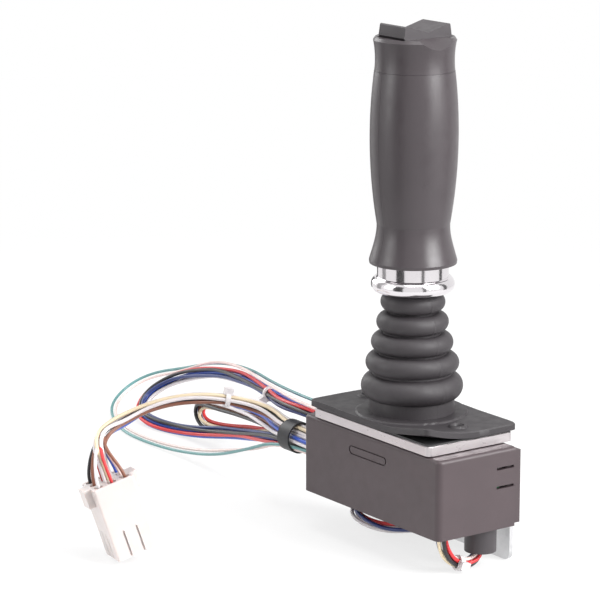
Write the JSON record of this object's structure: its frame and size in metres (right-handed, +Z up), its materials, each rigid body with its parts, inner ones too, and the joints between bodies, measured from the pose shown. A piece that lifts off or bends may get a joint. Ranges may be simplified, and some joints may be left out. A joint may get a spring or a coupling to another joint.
{
  "type": "industrial joystick",
  "caption": "Panel-mounted industrial joystick with a bellows boot, pull-up lock ring, round grip, thumb rocker, cover box and wire harness with a connector.",
  "frame": {"origin": "centre of the mounting plate's upper face, where the lever's axis crosses it", "axes": "+Z up the upright lever, +X along the plate's long side away from the wire outlet, +Y towards the bracket"},
  "size_m": [0.3596, 0.1895, 0.2501],
  "materials": {
    "bare_aluminium": "satin, black on its upper side",
    "black_rubber": "matte moulded rubber",
    "zinc_steel": "bright zinc",
    "bronze_bush": "plain",
    "switch_black": "moulded",
    "box_black": "fine satin grain",
    "bracket_steel": "pale satin",
    "board_green": "solder mask",
    "white_nylon": "translucent nylon",
    "wire_vinyl": "vinyl wire covers in several colours",
    "grip_plastic": "fine satin grain",
    "rocker_plastic": "smooth moulded",
    "polished_ring": "polished turned aluminium"
  },
  "bodies": {
    "base": {"mounting_plate": "bare_aluminium", "plate_gasket": "black_rubber", "rubber_boot": "black_rubber", "pivot_frame": "zinc_steel", "frame_rivets": "zinc_steel", "pivot_bushes": "bronze_bush", "lock_gate": "zinc_steel", "frame_post": "zinc_steel", "left_limit_switch": "switch_black", "right_limit_switch": "switch_black", "switch_screws": "zinc_steel", "cover_box": "box_black", "rear_rim": "box_black", "frame_bracket": "bracket_steel", "rim_rivets": "zinc_steel", "wire_sleeve": "box_black", "circuit_board": "board_green", "sensor_chip": "switch_black", "board_headers": "white_nylon", "board_spacers": "white_nylon", "bracket_screws": "zinc_steel", "wire_outlet": "black_rubber", "outer_loop": "wire_vinyl", "inner_loop": "wire_vinyl", "connector_lead": "wire_vinyl", "thin_wire_outer": "wire_vinyl", "thin_wire_inner": "wire_vinyl", "under_loop_left": "wire_vinyl", "under_loop_front": "wire_vinyl", "inner_lead": "wire_vinyl", "harness_band": "black_rubber", "outer_tie": "white_nylon", "lead_tie": "white_nylon", "under_tie": "white_nylon", "connector_housing": "white_nylon", "connector_terminals": "bronze_bush"},
    "lever": {"pivot_hub": "zinc_steel", "pivot_pins": "zinc_steel", "pin_clips": "zinc_steel", "sensor_magnet": "zinc_steel", "hub_post": "zinc_steel", "return_spring": "zinc_steel", "lever_tube": "zinc_steel", "grip_core": "grip_plastic", "front_skirt": "grip_plastic", "rear_skirt": "grip_plastic", "front_grip_shell": "grip_plastic", "rear_grip_shell": "grip_plastic", "grip_screws": "zinc_steel", "head_cap": "grip_plastic", "head_board": "board_green", "rocker_switches": "switch_black", "rocker_pin": "zinc_steel", "lock_spring": "zinc_steel"},
    "ring": {"lock_ring": "polished_ring", "lock_pin": "zinc_steel", "lock_rod": "zinc_steel"},
    "rocker": {"thumb_rocker": "rocker_plastic"}
  },
  "joints": [
    {"name": "lever_tilt", "type": "hinge", "parent": "base", "child": "lever", "pos_m": [0, 0, -0.014], "axis": [0, 1, 0], "range_deg": [-20, 20], "stiffness_Nm_per_rad": 2, "deforming": ["rubber_boot", "return_spring"]},
    {"name": "ring_lift", "type": "slide", "parent": "lever", "child": "ring", "axis": [0, 0, 1], "range_m": [0, 0.0055], "stiffness_N_per_m": 600, "springref_m": -0.004, "deforming": ["lock_spring"]},
    {"name": "rocker_tilt", "type": "hinge", "parent": "lever", "child": "rocker", "pos_m": [0, 0, 0.177], "axis": [1, 0, 0], "range_deg": [-9, 9], "stiffness_Nm_per_rad": 0.05}
  ]
}
